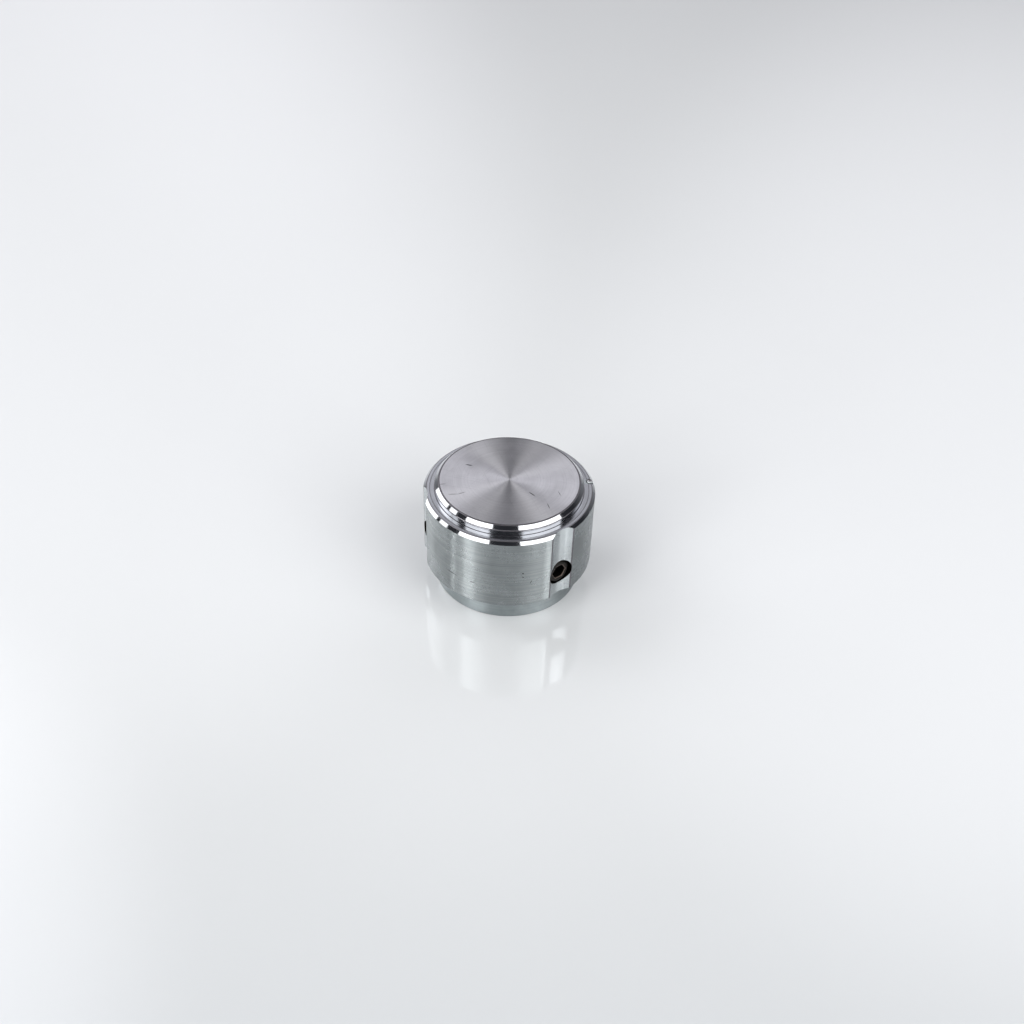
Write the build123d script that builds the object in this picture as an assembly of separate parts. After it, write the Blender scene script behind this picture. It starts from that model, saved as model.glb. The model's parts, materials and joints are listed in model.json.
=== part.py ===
from build123d import *
import math
import os

os.makedirs("parts", exist_ok=True)

# Lengths in millimetres. Z is the shaft axis, and the base stands on Z = 0.

# Turned body
grip_diameter = 25.0
grip_height = 11.8
shoulder_width = 1.65  # ledge from the grip's skin to the crown's wall
shoulder_chamfer = 0.45
ledge_corner_radius = 0.12  # left by the nose of the turning tool
crown_height = 1.4
crown_chamfer = 0.55
base_height = 4.0
base_inset = 1.75
base_edge_break = 0.15

# Shaft bore, blind and drilled from below
bore_diameter = 6.0
bore_entry_chamfer = 0.4
bore_point_angle = 118.0
crown_wall = 2.9  # metal left over the drill point

# Scallops milled down the grip, one at each set screw
scallop_count = 3
scallop_cutter_diameter = 8.0
scallop_depth = 0.63

# Index notch in the shoulder's rim, midway between two scallops
notch_width = 1.3
notch_reach = 1.2

# Set screws
screw_diameter = 4.0
screw_length = 8.0
screw_rise = 3.9  # axis above the grip's lower edge
screw_backoff = 0.85  # tip held clear of the bore, so that a shaft slides in
thread_clearance = 0.03
face_chamfer = 0.35
point_chamfer = 0.7
cup_diameter = 2.0
cup_depth = 0.5
socket_flats = 2.0
socket_depth = 2.5

overrun = 1.0

# Places that follow from the sizes
grip_radius = grip_diameter / 2
base_radius = grip_radius - base_inset
crown_radius = grip_radius - shoulder_width
ledge_level = base_height + grip_height
top_level = ledge_level + crown_height
bore_radius = bore_diameter / 2
bore_point = bore_radius / math.tan(math.radians(bore_point_angle / 2))
bore_depth = top_level - crown_wall - bore_point
screw_radius = screw_diameter / 2
screw_level = base_height + screw_rise
hole_radius = screw_radius + thread_clearance
scallop_step = 360 / scallop_count


def outward(angle):
    return Vector(math.sin(math.radians(angle)), -math.cos(math.radians(angle)), 0)


def radial_plane(angle, radius, level):
    return Plane(origin=outward(angle) * radius + Vector(0, 0, level), x_dir=(0, 0, 1), z_dir=outward(angle))


def turned_blank():
    outline = Polyline(
        (bore_radius + bore_entry_chamfer, 0),
        (base_radius - base_edge_break, 0),
        (base_radius, base_edge_break),
        (base_radius, base_height),
        (grip_radius, base_height),
        (grip_radius, ledge_level - shoulder_chamfer),
        (grip_radius - shoulder_chamfer, ledge_level),
        (crown_radius, ledge_level),
        (crown_radius, top_level - crown_chamfer),
        (crown_radius - crown_chamfer, top_level),
        (0, top_level),
        (0, bore_depth + bore_point),
        (bore_radius, bore_depth),
        (bore_radius, bore_entry_chamfer),
        close=True,
    )
    section = make_face(outline)
    corner = section.vertices().sort_by_distance((crown_radius, ledge_level, 0))[0]
    section = fillet(corner, ledge_corner_radius)
    return revolve(Plane.XZ * section, Axis.Z)


def scallop_cutter(angle):
    cutter_radius = scallop_cutter_diameter / 2
    middle = outward(angle) * (grip_radius - scallop_depth + cutter_radius)
    upright = (Align.CENTER, Align.CENTER, Align.MIN)
    return Pos(middle.X, middle.Y, 0) * Cylinder(cutter_radius, top_level + overrun, align=upright)


def screw_hole(angle):
    along = (Align.CENTER, Align.CENTER, Align.MIN)
    return radial_plane(angle, 0, screw_level) * Cylinder(hole_radius, grip_radius + overrun, align=along)


def notch_cutter(angle):
    nose_radius = notch_width / 2
    inner_end = grip_radius - notch_reach + nose_radius
    along = (Align.CENTER, Align.CENTER, Align.MIN)
    groove = radial_plane(angle, inner_end, ledge_level) * Cylinder(nose_radius, notch_reach + overrun, align=along)
    return groove + radial_plane(angle, inner_end, ledge_level) * Sphere(nose_radius)


def set_screw():
    outline = Polyline(
        (0, cup_depth),
        (cup_diameter / 2, 0),
        (screw_radius - point_chamfer, 0),
        (screw_radius, point_chamfer),
        (screw_radius, screw_length - face_chamfer),
        (screw_radius - face_chamfer, screw_length),
        (0, screw_length),
        close=True,
    )
    screw = revolve(Plane.XZ * make_face(outline), Axis.Z)
    hexagon = RegularPolygon(socket_flats / 2, 6, major_radius=False)
    return screw - Pos(0, 0, screw_length - socket_depth) * extrude(hexagon, socket_depth + overrun)


knob_body = turned_blank()
screws = []
for index in range(scallop_count):
    angle = index * scallop_step
    knob_body -= scallop_cutter(angle)
    knob_body -= screw_hole(angle)
    screws.append(radial_plane(angle, bore_radius + screw_backoff, screw_level) * set_screw())
knob_body -= notch_cutter(scallop_step / 2)

export_step(knob_body, "parts/knob_body.step")
export_step(Compound(screws), "parts/set_screws.step")
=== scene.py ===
import json
import math

import bmesh
import bpy
from mathutils import Matrix, Vector


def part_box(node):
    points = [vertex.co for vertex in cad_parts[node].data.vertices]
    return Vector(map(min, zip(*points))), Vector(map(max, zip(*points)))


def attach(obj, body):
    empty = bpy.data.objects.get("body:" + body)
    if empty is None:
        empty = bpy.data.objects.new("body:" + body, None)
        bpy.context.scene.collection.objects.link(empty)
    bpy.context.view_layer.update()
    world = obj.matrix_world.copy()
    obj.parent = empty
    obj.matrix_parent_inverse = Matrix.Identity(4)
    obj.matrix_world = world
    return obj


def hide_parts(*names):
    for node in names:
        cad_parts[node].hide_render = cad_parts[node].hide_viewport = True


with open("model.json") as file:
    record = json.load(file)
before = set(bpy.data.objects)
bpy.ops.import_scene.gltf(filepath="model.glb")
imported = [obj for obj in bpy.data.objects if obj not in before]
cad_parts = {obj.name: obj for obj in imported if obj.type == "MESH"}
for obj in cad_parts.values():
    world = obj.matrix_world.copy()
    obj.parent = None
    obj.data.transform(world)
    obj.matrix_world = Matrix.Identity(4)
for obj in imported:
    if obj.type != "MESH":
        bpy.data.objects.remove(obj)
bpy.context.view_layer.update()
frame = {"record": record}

mm = 0.001
upAxis = Vector((0, 0, 1))
noShift = Vector((0, 0, 0))

# tolerances in mm, but for the angle
sliver = 0.0001
weld = 0.0005  # doubles closer than this are merged
touch = 0.001  # closer than this is the same place
near = 0.01
angleTouch = 0.0005  # radians
overrun = 1.0  # how far a cutter runs past what it cuts

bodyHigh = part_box("knob_body")[1]
screwLow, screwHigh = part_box("set_screws")
boreSize = next(m["dims"] for m in frame["record"]["mounts"] if m["name"] == "shaft_bore")


# small helpers

def linear(hexColour):
    channels = [int(hexColour[i:i + 2], 16) / 255 for i in (1, 3, 5)]
    return [c / 12.92 if c <= 0.04045 else ((c + 0.055) / 1.055) ** 2.4 for c in channels] + [1]


# a Mix node's sockets share their names, so they are told apart by number
colourA, colourB, colourOut = 6, 7, 2
valueA, valueB = 2, 3


def addNode(tree, kind, inputs=None, **settings):
    made = tree.nodes.new(kind)
    for name, value in settings.items():
        setattr(made, name, value)
    for socket, value in (inputs or {}).items():
        if isinstance(value, bpy.types.NodeSocket):
            tree.links.new(value, made.inputs[socket])
        else:
            made.inputs[socket].default_value = value
    return made


def newMaterial(name):
    material = bpy.data.materials.new(name)
    material.use_nodes = True
    material.node_tree.nodes.clear()
    return material, material.node_tree


def finishMaterial(tree, shader):
    addNode(tree, "ShaderNodeOutputMaterial", {"Surface": shader.outputs["BSDF"]})


def meshObject(name, bm):
    mesh = bpy.data.meshes.new(name)
    bm.to_mesh(mesh)
    bm.free()
    made = bpy.data.objects.new(name, mesh)
    bpy.context.scene.collection.objects.link(made)
    return made


def applyModifiers(target):
    evaluated = target.evaluated_get(bpy.context.evaluated_depsgraph_get())
    result = bpy.data.meshes.new_from_object(evaluated)
    target.modifiers.clear()
    target.data = result


def cutAway(target, cutter):
    cut = target.modifiers.new("cut", "BOOLEAN")
    cut.operation = "DIFFERENCE"
    cut.solver = "EXACT"
    cut.object = cutter
    applyModifiers(target)
    bpy.data.objects.remove(cutter)


def flattenNormals(target):
    weigh = target.modifiers.new("weigh", "WEIGHTED_NORMAL")  # only the fine roundings bend the light
    weigh.weight = 100
    weigh.keep_sharp = True
    applyModifiers(target)


def scaleReach(v, reach):
    share = reach / math.hypot(v.co.x, v.co.y)
    v.co.x *= share
    v.co.y *= share


def turnRound(bm, verts, angle):
    bmesh.ops.rotate(bm, cent=noShift, matrix=Matrix.Rotation(angle, 3, "Z"), verts=verts)


# camera, at the photograph's place

view = {
    "azimuth": -39.3,  # degrees round from the set screw that faces -Y
    "aside": 0.51,  # mm right of the knob's axis
    "back": 136.41,  # mm in front of the axis
    "height": 124.25,  # mm over the floor
    "pitch": 39.68,  # degrees down
    "roll": 1.92,
    "lens": 42.19,
    "sensor": 36,
    "nearest": 5,  # mm, nothing nearer is drawn
}


def placeCamera():
    data = bpy.data.cameras.new("camera")
    data.lens = view["lens"]
    data.sensor_width = view["sensor"]
    data.clip_start = view["nearest"] * mm
    camera = bpy.data.objects.new("camera", data)
    bpy.context.scene.collection.objects.link(camera)
    swing = Matrix.Rotation(math.radians(view["azimuth"]), 4, "Z")
    place = Matrix.Translation(Vector((view["aside"], -view["back"], view["height"])) * mm)
    tilt = Matrix.Rotation(math.radians(90 - view["pitch"]), 4, "X")
    roll = Matrix.Rotation(math.radians(view["roll"]), 4, "Z")
    camera.matrix_world = swing @ place @ tilt @ roll
    bpy.context.scene.camera = camera


def fromCamera(azimuth, elevation, distance):
    a = math.radians(azimuth + view["azimuth"])
    e = math.radians(elevation)
    return Vector((math.sin(a) * math.cos(e), -math.cos(a) * math.cos(e), math.sin(e))) * distance


placeCamera()
print("camera placed")


# threads, shared by the screws and the holes that they run in

thread = {
    "pitch": 0.7,  # mm, coarse pitch of a 4 mm thread
    "major": round((screwHigh.z - screwLow.z) / 2 / mm, 2),
    "depth": 0.43,
    "clearance": 0.03,
    "segments": 40,
    "shares": (0, 0.25, 0.5625, 0.6875, 1),  # of a pitch: root, flank, crest, flank
}


def threadedRod(low, high, grow=0.0):
    t = thread
    major = t["major"] + grow
    minor = major - t["depth"]
    bm = bmesh.new()
    ridge = zip((minor, minor, major, major, minor), t["shares"])
    start = math.floor(low / t["pitch"]) - 1
    turns = math.ceil(high / t["pitch"]) + 1 - start
    verts = [bm.verts.new((r, 0, (start + share) * t["pitch"])) for r, share in ridge]
    edges = [bm.edges.new(pair) for pair in zip(verts, verts[1:])]
    bmesh.ops.spin(bm, geom=verts + edges, cent=noShift, axis=upAxis, angle=math.tau * turns,
                   dvec=upAxis * t["pitch"] / t["segments"], steps=turns * t["segments"])
    bmesh.ops.remove_doubles(bm, verts=bm.verts, dist=touch)
    for level, side in ((low, -1), (high, 1)):
        bmesh.ops.bisect_plane(bm, geom=bm.verts[:] + bm.edges[:] + bm.faces[:], dist=sliver,
                               plane_co=upAxis * level, plane_no=upAxis * side, clear_outer=True)
        rim = [e for e in bm.edges if e.is_boundary and all(abs(v.co.z - level) < touch for v in e.verts)]
        bmesh.ops.holes_fill(bm, edges=rim, sides=0)  # 0 for any number
    bmesh.ops.recalc_face_normals(bm, faces=bm.faces)
    return bm


def limitRadius(bm, limit):
    for v in bm.verts:
        most = limit(v.co.z)
        if math.hypot(v.co.x, v.co.y) > most:
            scaleReach(v, most)


# knob body

knob = {  # millimetres
    "gripRadius": round(bodyHigh.x / mm, 2),
    "topLevel": round(bodyHigh.z / mm, 2),
    "ledgeLevel": 15.8,
    "shoulderWidth": 1.65,
    "shoulderChamfer": 0.45,
    "crownChamfer": 0.55,
    "baseHeight": 4.0,
    "baseInset": 1.75,
    "baseEdge": 0.15,
    "boreRadius": boreSize["r_mm"],
    "boreEntry": 0.4,
    "boreLength": boreSize["length_mm"],
    "borePoint": 1.8,
    "scallops": 3,
    "cutterRadius": 4.0,
    "scallopDepth": 0.63,
    "notchWidth": 1.3,
    "notchReach": 1.2,
    "notchFloorShare": 0.35,  # of its width, to either side of its middle, in the pale milled finish; the notch's sides beyond carry painted shade
    "holeMouth": 11.3,  # the thread runs out this far from the axis
    "edgeRounding": 0.04,
    "rimRounding": 0.08,  # on the steps' edges, which carry painted shade as fine dark lines
    "rimLine": 0.2,  # painted shade on the top face's edge, with the rounding
    "grooveWidth": 0.08,  # tool grooves in the ledge
    "grooveDepth": 0.04,
    "grooveShares": (0.55, 0),  # of the ledge's width, out from the crown's wall
    "grooveZone": 0.1,  # under the ledge, where only grooves reach
    "edgeBreak": 0.13,  # on the scallops' sides
    "breakShare": 0.8,  # of the edge break, inside the scallop
    "scallopSkin": 0.004,  # a scallop's floor lies deeper than this
    "scallopWeld": 0.002,  # corners that the mill brings together
    "uprightLeast": 0.1,  # rise of an upright edge
    "scallopSteps": 24,
    "landSteps": 70,
    "gripRows": 32,
    "sharpAngle": 28,  # degrees
}
screwLevel = (screwLow.z + screwHigh.z) / 2 / mm
cutterAxis = knob["gripRadius"] - knob["scallopDepth"] + knob["cutterRadius"]
scallopHalf = math.acos((knob["gripRadius"] ** 2 + cutterAxis ** 2 - knob["cutterRadius"] ** 2)
                        / (2 * knob["gripRadius"] * cutterAxis))
ledgeRadius = knob["gripRadius"] - knob["shoulderChamfer"]
crownRadius = knob["gripRadius"] - knob["shoulderWidth"]
baseRadius = knob["gripRadius"] - knob["baseInset"]
holeRadius = thread["major"] + thread["clearance"]
lowEdge = (knob["gripRadius"], knob["baseHeight"])
stepEdges = [
    (ledgeRadius, knob["ledgeLevel"]),
    (crownRadius, knob["topLevel"] - knob["crownChamfer"]),
    (crownRadius - knob["crownChamfer"], knob["topLevel"]),
]


def screwDirection(index):
    angle = math.tau / knob["scallops"] * index
    return Vector((math.sin(angle), -math.cos(angle), 0))


def outFromAxis(index):
    out = screwDirection(index)
    turn = Matrix((upAxis, upAxis.cross(-out), out)).transposed().to_4x4()
    return Matrix.Translation(upAxis * screwLevel) @ turn


def offScallop(place):
    angle = math.atan2(place.x, -place.y)
    step = math.tau / knob["scallops"]
    return (angle + step / 2) % step - step / 2


def scallopReach(off):
    aside = cutterAxis * math.sin(off)
    return cutterAxis * math.cos(off) - math.sqrt(knob["cutterRadius"] ** 2 - aside ** 2)


def turnedBlank():
    k = knob
    boreTop = k["boreEntry"] + k["boreLength"]
    grooves = []
    for share in k["grooveShares"]:
        inner = crownRadius + share * (ledgeRadius - crownRadius)
        outer = inner + k["grooveWidth"]
        floor = k["ledgeLevel"] - k["grooveDepth"]
        grooves += [(outer, k["ledgeLevel"]), (outer, floor), (inner, floor), (inner, k["ledgeLevel"])]
    corners = [
        (0, boreTop + k["borePoint"]),
        (k["boreRadius"], boreTop),
        (k["boreRadius"], k["boreEntry"]),
        (k["boreRadius"] + k["boreEntry"], 0),
        (baseRadius - k["baseEdge"], 0),
        (baseRadius, k["baseEdge"]),
        (baseRadius, k["baseHeight"]),
        lowEdge,
        (k["gripRadius"], k["ledgeLevel"] - k["shoulderChamfer"]),
        stepEdges[0],
        *grooves,
        *stepEdges[1:],
        (stepEdges[-1][0] - k["rimLine"], k["topLevel"]),
        (0, k["topLevel"]),
    ]
    bm = bmesh.new()
    verts = [bm.verts.new((r, 0, z)) for r, z in corners]
    edges = [bm.edges.new(pair) for pair in zip(verts, verts[1:])]
    rims = [v for v, corner in zip(verts, corners) if corner in (lowEdge, *stepEdges)]
    plain = verts[1:corners.index(lowEdge)]  # under the grip
    for corner, size in ((rims, k["rimRounding"]), (plain, k["edgeRounding"])):
        bmesh.ops.bevel(bm, geom=corner, offset=size, offset_type="OFFSET", segments=2, profile=0.5,
                        affect="VERTICES", material=-1)
    wall = [e for e in bm.edges if all(v.co.x > k["gripRadius"] - touch for v in e.verts)]
    bmesh.ops.subdivide_edges(bm, edges=wall, cuts=k["gripRows"])
    turnRound(bm, bm.verts, -math.pi / 2 - scallopHalf)
    ring = bm.verts[:] + bm.edges[:]
    for _ in range(k["scallops"]):
        for sweep, steps in ((2 * scallopHalf, k["scallopSteps"]),
                             (math.tau / k["scallops"] - 2 * scallopHalf, k["landSteps"])):
            ring = bmesh.ops.spin(bm, geom=ring, cent=noShift, axis=upAxis, dvec=noShift, angle=sweep,
                                  steps=steps)["geom_last"]
    bmesh.ops.remove_doubles(bm, verts=bm.verts, dist=weld)
    return bm


def millScallops(bm):
    k = knob
    rimStart = k["ledgeLevel"] - k["shoulderChamfer"] - 2 * k["edgeRounding"]
    for v in bm.verts:
        off = offScallop(v.co)
        if abs(off) >= scallopHalf:
            continue
        floor = scallopReach(off)
        if math.hypot(v.co.x, v.co.y) > floor:
            scaleReach(v, floor)
            if v.co.z > rimStart:  # the chamfer's lower edge climbs where the mill cuts it
                v.co.z = max(v.co.z, k["ledgeLevel"] - max(0, floor - ledgeRadius))
    bmesh.ops.remove_doubles(bm, verts=bm.verts, dist=k["scallopWeld"])
    bmesh.ops.dissolve_degenerate(bm, edges=bm.edges, dist=weld)
    upright = [e for e in bm.edges if abs(e.verts[0].co.z - e.verts[1].co.z) > k["uprightLeast"]]
    sides = [e for e in upright if all(abs(abs(offScallop(v.co)) - scallopHalf) < angleTouch
                                       and v.co.xy.length > k["gripRadius"] - touch for v in e.verts)]
    bmesh.ops.bevel(bm, geom=sides, offset=k["edgeBreak"], offset_type="OFFSET", segments=3, profile=0.5,
                    affect="EDGES", material=-1)
    bmesh.ops.recalc_face_normals(bm, faces=bm.faces)


def tapCutter():
    bm = threadedRod(knob["boreRadius"] - overrun, knob["gripRadius"] + overrun, thread["clearance"])
    for v in bm.verts:
        if v.co.z > knob["holeMouth"] and math.hypot(v.co.x, v.co.y) > thread["depth"]:
            scaleReach(v, holeRadius)
    return bm


def notchCutter():
    bm = bmesh.new()
    bmesh.ops.create_uvsphere(bm, u_segments=32, v_segments=24, radius=knob["notchWidth"] / 2)
    outer = [v for v in bm.verts if v.co.z > touch]
    bmesh.ops.translate(bm, verts=outer, vec=upAxis * knob["notchReach"] * 2)  # well past the rim
    inner = knob["gripRadius"] - knob["notchReach"] + knob["notchWidth"] / 2
    bmesh.ops.translate(bm, verts=bm.verts, vec=upAxis * inner)
    return bm


def notchPlace():
    halfway = outFromAxis(0.5)  # between the first two scallops
    return Matrix.Translation(upAxis * (knob["ledgeLevel"] - screwLevel)) @ halfway


def joinedCutter():
    cutters = [(tapCutter(), outFromAxis(index)) for index in range(knob["scallops"])]
    cutters.append((notchCutter(), notchPlace()))
    bm = bmesh.new()
    for cutter, place in cutters:
        cutter.transform(place)
        part = bpy.data.meshes.new("part")
        cutter.to_mesh(part)
        cutter.free()
        bm.from_mesh(part)
        bpy.data.meshes.remove(part)
    return meshObject("cutter", bm)


finishes = ["facedTop", "brightChamfer", "fineWall", "facedLedge", "turnedGrip", "turnedBase",
            "milledScallop", "tappedHole", "shaftBore", "facedBase", "grimyGroove"]
# upward shares of a face's normal
slopes = {"down": -0.7, "chamferLeast": 0.5, "chamferMost": 0.9, "flat": 0.95, "wallMost": 0.3}


def finishOf(face):
    k = knob
    centre = face.calc_center_median()
    normal = face.normal
    reach = math.hypot(centre.x, centre.y)
    below = k["ledgeLevel"] - centre.z
    if reach < k["boreRadius"] + touch and below > 0:
        return "shaftBore"
    for index in range(k["scallops"]):
        local = outFromAxis(index).inverted() @ centre
        # inside a tapped hole: near black, painted shade of the recess with old oil
        if local.z > 0 and math.hypot(local.x, local.y) < holeRadius - weld:
            return "tappedHole"
    local = notchPlace().inverted() @ centre
    if local.z > 0 and math.hypot(local.x, local.y) < k["notchWidth"] / 2 - weld:
        # the notch's sides take painted shade, its floor the milled finish
        onFloor = abs(local.y) <= k["notchFloorShare"] * k["notchWidth"]
        return "milledScallop" if onFloor else "grimyGroove"
    # painted shade on the roundings of the steps and of the grip's lower edge, in the ledge's grooves and on
    # the top face's rim line
    if any(math.hypot(reach - r, centre.z - z) < k["rimRounding"] for r, z in (lowEdge, *stepEdges)):
        return "grimyGroove"
    if crownRadius - touch < reach < ledgeRadius and touch < below < k["grooveZone"]:
        return "grimyGroove"
    if reach < k["boreRadius"] + k["boreEntry"] and below > 0:
        return "shaftBore"
    if normal.z < slopes["down"] or centre.z < k["baseEdge"]:
        return "facedBase"
    if centre.z > k["topLevel"] - near:
        return "facedTop" if reach < stepEdges[-1][0] - k["rimLine"] else "grimyGroove"
    if reach < ledgeRadius and below < touch:
        if normal.z > slopes["flat"]:
            return "facedLedge"
        sloping = slopes["chamferLeast"] < normal.z < slopes["chamferMost"]
        onChamfer = sloping and centre.z > k["topLevel"] - k["crownChamfer"] - near
        return "brightChamfer" if onChamfer else "fineWall"
    if normal.z > slopes["wallMost"]:
        return "brightChamfer"
    if centre.z < k["baseHeight"]:
        return "turnedBase"
    # painted shade on the scallops' edge breaks
    pastEdge = (abs(offScallop(centre)) - scallopHalf) * k["gripRadius"]
    if -k["breakShare"] * k["edgeBreak"] < pastEdge < k["edgeBreak"]:
        return "grimyGroove"
    if pastEdge < 0 and reach < k["gripRadius"] - k["scallopSkin"]:
        return "milledScallop"
    return "turnedGrip"


def buildKnob():
    bm = turnedBlank()
    millScallops(bm)
    body = meshObject("knobBody", bm)
    cutAway(body, joinedCutter())
    bm = bmesh.new()
    bm.from_mesh(body.data)
    bmesh.ops.remove_doubles(bm, verts=bm.verts, dist=weld)
    for face in bm.faces:
        face.material_index = finishes.index(finishOf(face))
        face.smooth = True
    bm.to_mesh(body.data)
    bm.free()
    body.data.set_sharp_from_angle(angle=math.radians(knob["sharpAngle"]))
    flattenNormals(body)  # still in mm, because it tells large faces from small ones by plain area
    body.data.transform(Matrix.Scale(mm, 4))
    body.data.use_auto_texspace = False  # the radial tangent turns about the middle of this box
    body.data.texspace_location = upAxis * knob["topLevel"] / 2 * mm
    body.data.texspace_size = Vector((knob["gripRadius"], knob["gripRadius"], knob["topLevel"] / 2)) * mm
    return body


knobBody = buildKnob()
print("knob body", len(knobBody.data.polygons), "faces")


# set screws

screw = {  # millimetres
    "length": 8.0,
    "tip": knob["boreRadius"] + 0.85,  # distance from the axis, backed off so that a shaft slides in
    "faceChamfer": 0.35,
    "pointChamfer": 0.7,
    "socketFlats": 2.0,
    "socketDepth": 2.5,
    "socketRim": 0.12,
    "cupDepth": 0.5,
    "pointFacing": -0.99,  # upward share of the point's normal
    "rimAngle": 1.2,  # radians, the socket's edge is sharper
    "sharpAngle": 25,  # degrees
}


def oneScrew():
    s = screw
    low, high = s["tip"], s["tip"] + s["length"]
    bm = threadedRod(low, high)
    limitRadius(bm, lambda z: thread["major"] - max(0, s["faceChamfer"] - (high - z),
                                                    s["pointChamfer"] - (z - low)))
    point = [f for f in bm.faces if f.normal.z < s["pointFacing"] and f.calc_center_median().z < low + near]
    cup = bmesh.ops.poke(bm, faces=point)["verts"]
    bmesh.ops.translate(bm, verts=cup, vec=upAxis * s["cupDepth"])
    made = meshObject("setScrews", bm)
    key = bmesh.new()
    acrossCorners = s["socketFlats"] / 2 / math.cos(math.pi / 6)
    bmesh.ops.create_cone(key, cap_ends=True, segments=6, radius1=acrossCorners, radius2=acrossCorners,
                          depth=2 * s["socketDepth"])
    bmesh.ops.translate(key, verts=key.verts, vec=upAxis * high)
    cutAway(made, meshObject("key", key))
    bm = bmesh.new()
    bm.from_mesh(made.data)
    rim = [e for e in bm.edges if len(e.link_faces) == 2 and e.calc_face_angle() > s["rimAngle"]
           and all(abs(v.co.z - high) < near and v.co.xy.length < acrossCorners + near for v in e.verts)]
    worn = bmesh.ops.bevel(bm, geom=rim, offset=s["socketRim"], offset_type="OFFSET", segments=2, profile=0.5,
                           affect="EDGES", material=-1)["faces"]
    for face in worn:
        face.material_index = 1  # the second of screwLooks
    bm.to_mesh(made.data)
    bm.free()
    return made


def buildScrews():
    made = oneScrew()
    pattern = made.data
    bm = bmesh.new()
    for index in range(knob["scallops"]):
        placed = pattern.copy()
        placed.transform(outFromAxis(index))
        bm.from_mesh(placed)
        bpy.data.meshes.remove(placed)
    for face in bm.faces:
        face.smooth = True
    bmesh.ops.scale(bm, vec=(mm, mm, mm), verts=bm.verts)
    bm.to_mesh(made.data)
    bm.free()
    made.data.set_sharp_from_angle(angle=math.radians(screw["sharpAngle"]))
    return made


setScrews = buildScrews()
print("set screws", len(setScrews.data.polygons), "faces")


# finishes of the body, one aluminium alloy cut in different ways

# lay is the way that the tool lines run: rings round the axis on a flat face, hoops round a wall,
# uprights down a milled scallop; pitch is their spacing in mm, drawn coarser than a real feed of
# about 0.05 mm so that it shows; groove is their depth in micrometres
bodyLooks = {
    "facedTop": {  # faced on a lathe: fine rings that fan every light out into a radial wedge
        "material": "facedAluminium", "pale": "#D9D8DB", "deep": "#C2C1C5",
        "roughness": 0.36, "anisotropy": 0.93, "lay": "rings", "pitch": 0.16,
        "groove": 0.8, "stain": 0.10, "hairlines": 0.12},
    "brightChamfer": {  # cut last with a sharp tool: a mirror with a few faint rings
        "material": "brightCutAluminium", "pale": "#D2D4D7", "deep": "#C2C4C8",
        "roughness": 0.07, "anisotropy": 0.0, "lay": "rings", "pitch": 0.16,
        "groove": 0.15, "stain": 0.04},
    "fineWall": {  # turned with a fine feed: half mirror, drawn out along the cut
        "material": "fineTurnedAluminium", "pale": "#CACCCF", "deep": "#B2B4B8",
        "roughness": 0.1, "anisotropy": 0.5, "lay": "hoopsAndRings", "pitch": 0.16,
        "groove": 0.5, "stain": 0.08},
    "facedLedge": {  # faced with the corner of the tool: rings that draw each light out across the ledge
        "material": "facedLedgeAluminium", "pale": "#CFD0D4", "deep": "#B2B4B9",
        "roughness": 0.15, "anisotropy": 0.6, "lay": "rings", "pitch": 0.12,
        "groove": 0.9, "stain": 0.08},
    "turnedGrip": {  # turned with a coarser feed, then handled: upright bands of light, faint hoops, nicks
        "material": "turnedAluminium", "pale": "#A9AEAF", "deep": "#7C8283",
        "roughness": 0.28, "anisotropy": 1.0, "lay": "hoops", "pitch": 0.17,
        "groove": 1.0, "stain": 0.08},
    "turnedBase": {  # turned in the same cut as the grip, duller near the desk
        "material": "dullTurnedAluminium", "pale": "#A9B0B2", "deep": "#8A9294",
        "roughness": 0.36, "anisotropy": 0.65, "lay": "hoops", "pitch": 0.2,
        "groove": 1.3, "stain": 0.18},
    "milledScallop": {  # milled down with the side of a cutter: paler, satin, with upright streaks
        "material": "milledAluminium", "pale": "#C6CBCD", "deep": "#A6ACAE",
        "roughness": 0.26, "anisotropy": 0.9, "lay": "uprights", "pitch": 0.2,
        "groove": 0.8, "stain": 0.12},
    "tappedHole": {  # drilled and tapped, with old cutting oil, and near black with painted shade of the hole's recess
        "material": "oilyTappedAluminium", "pale": "#231F1C", "deep": "#100E0C",
        "roughness": 0.42, "anisotropy": 0.0, "lay": "rings", "pitch": 0.3,
        "groove": 0.6, "stain": 0.3},
    "shaftBore": {  # drilled and reamed, clean and dull
        "material": "reamedAluminium", "pale": "#A9ABAE", "deep": "#8C8E92",
        "roughness": 0.3, "anisotropy": 0.5, "lay": "hoops", "pitch": 0.2,
        "groove": 0.8, "stain": 0.12},
    "facedBase": {  # faced and rubbed on desks: rings under a net of hairlines
        "material": "rubbedAluminium", "pale": "#BCBEC1", "deep": "#9EA0A4",
        "roughness": 0.36, "anisotropy": 0.9, "lay": "rings", "pitch": 0.2,
        "groove": 1.0, "stain": 0.14, "hairlines": 0.5},
    "grimyGroove": {  # painted shade: fine dark lines on the tool grooves, the steps' edges, the scallops' edge breaks and the notch's sides
        "material": "grimyAluminium", "pale": "#8A888C", "deep": "#5C5A5E",
        "roughness": 0.4, "anisotropy": 0.0, "lay": "rings", "pitch": 0.3,
        "groove": 0.4, "stain": 0.2},
}

toolLineLength = 40.0  # mm that a tool line runs before it fades
stainSize = 3.5  # mm
stainRange = (0.35, 0.7)  # of the noise
roughRange = (0.3, 0.7)
roughSpread = 0.12  # to either side
acrossGrooves = 0.25  # of a turn: light spreads across the tool lines
micrometre = 0.001 * mm
hairline = {
    "tone": "#5E6062",
    "length": 5,  # mm
    "width": 0.09,  # mm, wider than a real hairline so that it shows
    "turns": (17, 71, 128),  # degrees
    "range": (0.73, 0.8),  # of the noise, so that they are few
}
nick = {
    "tone": "#2A2726",
    "roughness": 0.6,
    "depth": 4.0,  # times a tool line's
    "reach": 2.0,  # mm into the skin
    "range": (0.6, 1.1),  # soft edge, in shares of its half size
}

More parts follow.
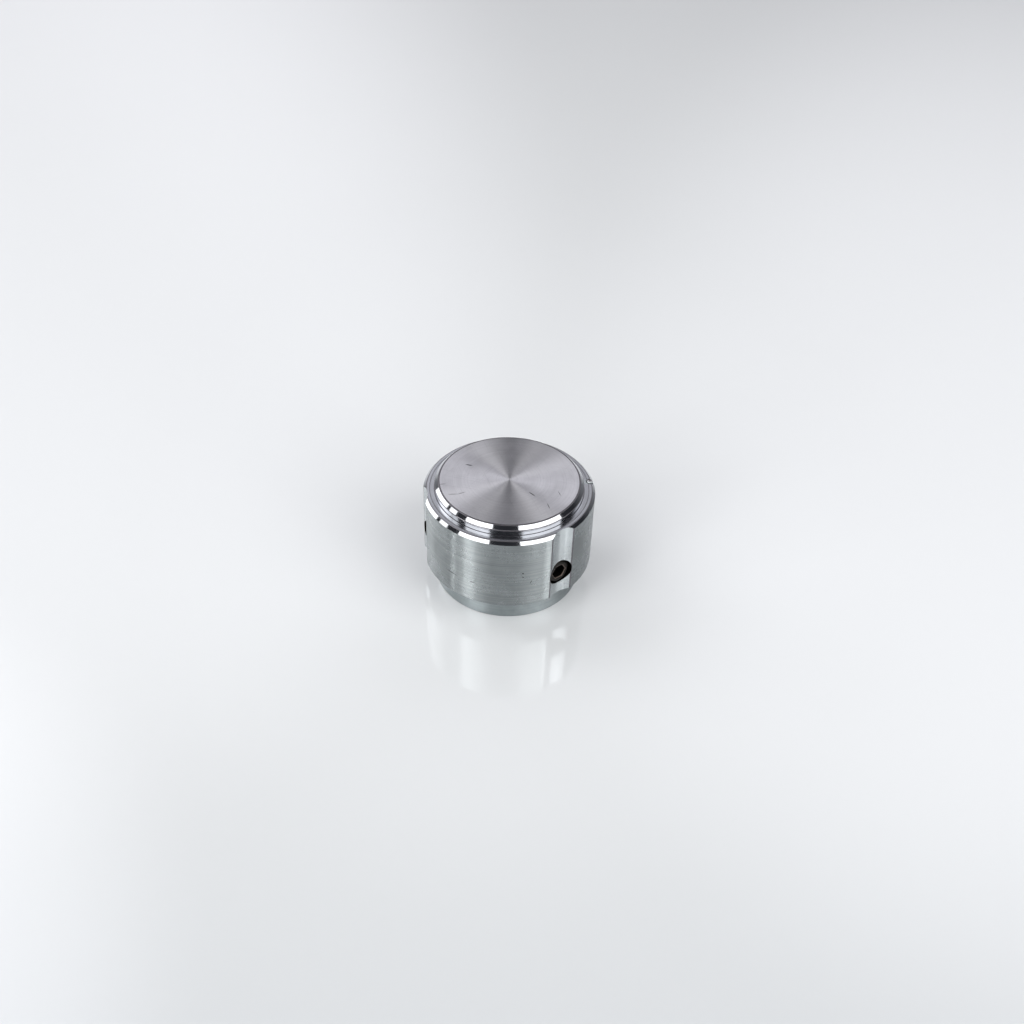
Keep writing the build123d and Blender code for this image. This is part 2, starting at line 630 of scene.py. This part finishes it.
# nicks and scratches in the photograph's places, all in mm and degrees
topMarks = [  # x, y, length, width, turn
    (-2.71, 6.18, 1.1, 0.22, -51),
    (0.49, -4.56, 1.4, 0.17, -84),
    (-8.6, 2.06, 1.5, 0.1, -32),
    (-7.5, 1.55, 1.4, 0.09, -12),
    (0.68, -8.04, 1.3, 0.1, -112),
    (3.73, -6.8, 1.2, 0.08, -109),
    (-8.44, 4.82, 1.0, 0.08, -23),
]
gripMarks = [  # degrees round from the first screw, level, length, width, turn
    (-28.5, 10.1, 0.34, 0.22, -38),
    (-28.4, 9.4, 0.32, 0.14, -25),
    (-22.9, 8.3, 0.7, 0.1, 69),
    (-62.1, 7.46, 0.8, 0.15, 12),
    (-78.1, 7.58, 2.3, 0.12, -3),
    (-14.9, 3.05, 0.3, 0.2, -87),
    (95.0, 11.2, 1.6, 0.06, 24),
    (151.0, 7.1, 0.9, 0.08, -50),
    (203.0, 12.4, 1.2, 0.07, 12),
]


def markSpots(tree, place, marks, onWall):
    nearest = None
    for first, second, length, width, turn in marks:
        if onWall:
            swing = Matrix.Rotation(math.radians(first), 3, "Z")
            out = swing @ Vector((0, -knob["gripRadius"], second))
            spin = swing @ Matrix.Rotation(-math.radians(turn), 3, "Y")
            size = (length / 2, nick["reach"], width / 2)
        else:
            out = Vector((first, second, knob["topLevel"]))
            spin = Matrix.Rotation(math.radians(turn), 3, "Z")
            size = (length / 2, width / 2, nick["reach"])
        spot = addNode(tree, "ShaderNodeMapping", {
            "Vector": place, "Location": out * mm, "Rotation": spin.to_euler(), "Scale": Vector(size) * mm},
            vector_type="TEXTURE")
        far = addNode(tree, "ShaderNodeVectorMath", {0: spot.outputs[0]}, operation="LENGTH").outputs["Value"]
        if nearest:
            far = addNode(tree, "ShaderNodeMath", {0: nearest, 1: far}, operation="MINIMUM").outputs[0]
        nearest = far
    return addNode(tree, "ShaderNodeMapRange", {
        "Value": nearest, "From Min": nick["range"][0], "From Max": nick["range"][1],
        "To Min": 1.0, "To Max": 0.0}).outputs["Result"]


def cutAluminium(look, marks=(), onWall=False):
    material, tree = newMaterial(look["material"])
    place = addNode(tree, "ShaderNodeTexCoord").outputs["Object"]
    axes = addNode(tree, "ShaderNodeSeparateXYZ", {0: place}).outputs
    flat = addNode(tree, "ShaderNodeCombineXYZ", {"X": axes["X"], "Y": axes["Y"]}).outputs[0]
    reach = addNode(tree, "ShaderNodeVectorMath", {0: flat}, operation="LENGTH").outputs["Value"]
    angle = addNode(tree, "ShaderNodeMath", {0: axes["Y"], 1: axes["X"]}, operation="ARCTAN2").outputs[0]
    arc = addNode(tree, "ShaderNodeMath", {
        0: angle, 1: knob["gripRadius"] * mm}, operation="MULTIPLY").outputs[0]
    both = addNode(tree, "ShaderNodeMath", {0: reach, 1: axes["Z"]}, operation="SUBTRACT").outputs[0]
    across = {"rings": reach, "hoops": axes["Z"], "uprights": arc, "hoopsAndRings": both}[look["lay"]]
    step = addNode(tree, "ShaderNodeMath", {
        0: across, 1: 1 / (look["pitch"] * mm)}, operation="MULTIPLY").outputs[0]
    if look["lay"] == "uprights":
        along = addNode(tree, "ShaderNodeCombineXYZ", {"X": axes["Z"]}).outputs[0]
        stretch = 1 / (toolLineLength * mm)
    else:
        along = addNode(tree, "ShaderNodeVectorMath", {0: flat}, operation="NORMALIZE").outputs["Vector"]
        stretch = knob["gripRadius"] / toolLineLength
    rise = addNode(tree, "ShaderNodeCombineXYZ", {"Z": step}).outputs[0]
    drawn = addNode(tree, "ShaderNodeVectorMath", {0: along, 1: (stretch, stretch, stretch), 2: rise},
                    operation="MULTIPLY_ADD").outputs["Vector"]
    lines = addNode(tree, "ShaderNodeTexNoise", {  # tool lines, drawn out along the cut
        "Vector": drawn, "Scale": 1.0, "Detail": 2.0, "Roughness": 0.65}).outputs["Fac"]
    cloud = addNode(tree, "ShaderNodeTexNoise", {  # stains and wear
        "Vector": place, "Scale": 1 / (stainSize * mm), "Detail": 5.0, "Roughness": 0.6}).outputs["Fac"]
    tone = addNode(tree, "ShaderNodeMix", {
        "Factor": lines, colourA: linear(look["deep"]), colourB: linear(look["pale"])},
        data_type="RGBA").outputs[colourOut]
    stain = addNode(tree, "ShaderNodeMapRange", {
        "Value": cloud, "From Min": stainRange[0], "From Max": stainRange[1],
        "To Min": 1 + look["stain"] / 2, "To Max": 1 - look["stain"]}).outputs["Result"]
    tone = addNode(tree, "ShaderNodeMix", {
        "Factor": 1.0, colourA: tone, colourB: stain},
        data_type="RGBA", blend_type="MULTIPLY").outputs[colourOut]
    rough = addNode(tree, "ShaderNodeMapRange", {
        "Value": cloud, "From Min": roughRange[0], "From Max": roughRange[1],
        "To Min": look["roughness"] * (1 - roughSpread),
        "To Max": look["roughness"] * (1 + roughSpread)}).outputs["Result"]
    height = lines
    turns = hairline["turns"] if "hairlines" in look else ()
    for turn in turns:
        laid = addNode(tree, "ShaderNodeMapping", {
            "Vector": place, "Location": (turn * mm, 0, 0), "Rotation": (0, 0, math.radians(turn)),
            "Scale": (hairline["length"] * mm, hairline["width"] * mm, hairline["length"] * mm)},
            vector_type="TEXTURE").outputs[0]
        hair = addNode(tree, "ShaderNodeTexNoise", {
            "Vector": laid, "Scale": 1.0, "Detail": 0.0}).outputs["Fac"]
        hair = addNode(tree, "ShaderNodeMapRange", {
            "Value": hair, "From Min": hairline["range"][0], "From Max": hairline["range"][1],
            "To Min": 0.0, "To Max": look["hairlines"]}).outputs["Result"]
        tone = addNode(tree, "ShaderNodeMix", {
            "Factor": hair, colourA: tone, colourB: linear(hairline["tone"])},
            data_type="RGBA").outputs[colourOut]
        height = addNode(tree, "ShaderNodeMath", {0: height, 1: hair}, operation="SUBTRACT").outputs[0]
    if marks:
        spots = markSpots(tree, place, marks, onWall)
        tone = addNode(tree, "ShaderNodeMix", {
            "Factor": spots, colourA: tone, colourB: linear(nick["tone"])},
            data_type="RGBA").outputs[colourOut]
        rough = addNode(tree, "ShaderNodeMix", {
            "Factor": spots, valueA: rough, valueB: nick["roughness"]}).outputs[0]
        deep = addNode(tree, "ShaderNodeMath", {0: spots, 1: nick["depth"]}, operation="MULTIPLY").outputs[0]
        height = addNode(tree, "ShaderNodeMath", {0: height, 1: deep}, operation="SUBTRACT").outputs[0]
    bump = addNode(tree, "ShaderNodeBump", {
        "Height": height, "Strength": 1.0, "Distance": look["groove"] * micrometre}).outputs["Normal"]
    tangent = addNode(tree, "ShaderNodeTangent", direction_type="RADIAL", axis="Z").outputs["Tangent"]
    shader = addNode(tree, "ShaderNodeBsdfPrincipled", {
        "Base Color": tone, "Metallic": 1.0, "Roughness": rough, "Normal": bump, "Tangent": tangent,
        "Anisotropic": look["anisotropy"], "Anisotropic Rotation": acrossGrooves})
    finishMaterial(tree, shader)
    return material


screwLooks = [
    {  # black oxide over a machined thread: near black, with a soft satin sheen
        "material": "blackOxideSteel", "pale": "#2B2724", "deep": "#141210", "roughness": 0.4},
    {  # the key has rubbed the oxide off the socket's edge: a thin brownish bright line
        "material": "wornSteelRim", "pale": "#7A6E66", "deep": "#4A403A", "roughness": 0.34},
]
steelGrain = {"size": 0.4, "depth": 0.004, "spread": 0.2, "metallic": 0.9}  # sizes in mm


def screwSteel(look):
    material, tree = newMaterial(look["material"])
    place = addNode(tree, "ShaderNodeTexCoord").outputs["Object"]
    cloud = addNode(tree, "ShaderNodeTexNoise", {
        "Vector": place, "Scale": 1 / (steelGrain["size"] * mm), "Detail": 5.0}).outputs["Fac"]
    tone = addNode(tree, "ShaderNodeMix", {
        "Factor": cloud, colourA: linear(look["deep"]), colourB: linear(look["pale"])},
        data_type="RGBA").outputs[colourOut]
    rough = addNode(tree, "ShaderNodeMapRange", {
        "Value": cloud, "From Min": roughRange[0], "From Max": roughRange[1],
        "To Min": look["roughness"] * (1 - steelGrain["spread"]),
        "To Max": look["roughness"] * (1 + steelGrain["spread"])}).outputs["Result"]
    bump = addNode(tree, "ShaderNodeBump", {
        "Height": cloud, "Strength": 1.0, "Distance": steelGrain["depth"] * mm}).outputs["Normal"]
    shader = addNode(tree, "ShaderNodeBsdfPrincipled", {
        "Base Color": tone, "Metallic": steelGrain["metallic"], "Roughness": rough, "Normal": bump})
    finishMaterial(tree, shader)
    return material


nicked = {"facedTop": (topMarks, False), "turnedGrip": (gripMarks, True)}
for name in finishes:
    knobBody.data.materials.append(cutAluminium(bodyLooks[name], *nicked.get(name, ())))
for look in screwLooks:
    setScrews.data.materials.append(screwSteel(look))
print("finishes made")


# floor and light

floorLook = {
    "pale": "#E4E6E7",
    # painted shade, towards the camera
    "near": "#D2D5D7",
    "from": -25,  # mm towards the camera
    "to": -110,
    "roughness": 0.008,
    "ior": 2.0,
    "size": 3.0,  # metres
}


def makeFloor():
    bm = bmesh.new()
    bmesh.ops.create_grid(bm, x_segments=1, y_segments=1, size=floorLook["size"])
    floor = meshObject("floor", bm)
    material, tree = newMaterial("glossBoard")  # white coated board, with painted shade: a little greyer towards the camera
    place = addNode(tree, "ShaderNodeTexCoord").outputs["Object"]
    laid = addNode(tree, "ShaderNodeMapping", {
        "Vector": place, "Rotation": (0, 0, math.radians(-view["azimuth"]))}).outputs[0]
    back = addNode(tree, "ShaderNodeSeparateXYZ", {0: laid}).outputs["Y"]
    # painted shade: the board greys from pale to near towards the camera
    fade = addNode(tree, "ShaderNodeMapRange", {
        "Value": back, "From Min": floorLook["from"] * mm, "From Max": floorLook["to"] * mm},
        interpolation_type="SMOOTHSTEP").outputs["Result"]
    tone = addNode(tree, "ShaderNodeMix", {
        "Factor": fade, colourA: linear(floorLook["pale"]), colourB: linear(floorLook["near"])},
        data_type="RGBA").outputs[colourOut]
    shader = addNode(tree, "ShaderNodeBsdfPrincipled", {
        "Base Color": tone, "Roughness": floorLook["roughness"], "IOR": floorLook["ior"]})
    finishMaterial(tree, shader)
    floor.data.materials.append(material)


lamps = [
    # name, degrees round from the camera and up, metres away, degrees wide and high, brightness
    ("leftFront", -48, 38, 0.8, 30, 52, 2.8),
    ("leftStrip", -67, 15, 0.78, 2.5, 28, 15.0),
    ("leftBand", -46, 15, 0.78, 13, 28, 5.8),
    ("leftSlit", -89, 34, 0.8, 9.5, 28, 1.9),
    ("leftBack", -114, 24, 0.8, 27, 50, 2.4),
    ("rightFront", 55, 36, 0.8, 49, 56, 2.6),
    ("rightBand", 50, 15, 0.78, 4, 28, 9.0),
    ("rightHigh", 108, 66, 0.8, 12, 12, 2.3),
    ("rightSpark", 130, 29, 0.8, 3, 4, 8.0),
]
room = {"low": "#828387", "high": "#303135", "fade": 0.35}  # dim, a little paler at the horizon
glowTint = "#F9F9FF"
glows = [
    # soft bright walls: degrees round from the camera and up, inner and outer degrees, brightness
    (147, 33, 6, 28, 1.1),
    (-126, 49, 6, 20, 1.4),
    (-154, 27, 6, 27, 1.0),
    (180, 12, 4, 26, 0.4),
    (180, 42, 3, 18, 0.32),
    (0, 0, 10, 42, 0.25),
]


def makeLamp(name, azimuth, elevation, distance, wide, high, brightness):
    data = bpy.data.lights.new(name, "AREA")
    data.shape = "RECTANGLE"
    data.size = 2 * distance * math.tan(math.radians(wide / 2))
    data.size_y = 2 * distance * math.tan(math.radians(high / 2))
    data.energy = brightness * math.pi * data.size * data.size_y  # watts
    lamp = bpy.data.objects.new(name, data)
    lamp.visible_camera = False
    bpy.context.scene.collection.objects.link(lamp)
    lamp.location = fromCamera(azimuth, elevation, distance)
    lamp.rotation_euler = lamp.location.to_track_quat("Z", "Y").to_euler()


def makeWorld():
    world = bpy.data.worlds.new("room")
    bpy.context.scene.world = world
    world.use_nodes = True
    tree = world.node_tree
    tree.nodes.clear()
    place = addNode(tree, "ShaderNodeTexCoord").outputs["Generated"]
    up = addNode(tree, "ShaderNodeSeparateXYZ", {0: place}).outputs["Z"]
    rise = addNode(tree, "ShaderNodeMapRange", {
        "Value": up, "From Min": 0.0, "From Max": room["fade"]}).outputs["Result"]
    tone = addNode(tree, "ShaderNodeMix", {
        "Factor": rise, colourA: linear(room["low"]), colourB: linear(room["high"])},
        data_type="RGBA").outputs[colourOut]
    for azimuth, elevation, inner, outer, brightness in glows:
        facing = addNode(tree, "ShaderNodeVectorMath", {0: place, 1: fromCamera(azimuth, elevation, 1)},
                         operation="DOT_PRODUCT").outputs["Value"]
        glow = addNode(tree, "ShaderNodeMapRange", {
            "Value": facing, "From Min": math.cos(math.radians(outer)),
            "From Max": math.cos(math.radians(inner))},
            interpolation_type="SMOOTHSTEP").outputs["Result"]
        colour = [c * brightness for c in linear(glowTint)]
        tone = addNode(tree, "ShaderNodeMix", {
            "Factor": glow, colourA: tone, colourB: colour},
            data_type="RGBA", blend_type="ADD").outputs[colourOut]
    light = addNode(tree, "ShaderNodeBackground", {"Color": tone, "Strength": 1.0})
    addNode(tree, "ShaderNodeOutputWorld", {"Surface": light.outputs[0]})


makeFloor()
for lamp in lamps:
    makeLamp(*lamp)
makeWorld()
bpy.context.scene.view_settings.view_transform = "Standard"
print("floor and light made")


# ties to the frame

for piece, node, slotName in ((knobBody, "knob_body", "turned_aluminium"),
                              (setScrews, "set_screws", "black_oxide_steel")):
    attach(piece, "root")
    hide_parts(node)
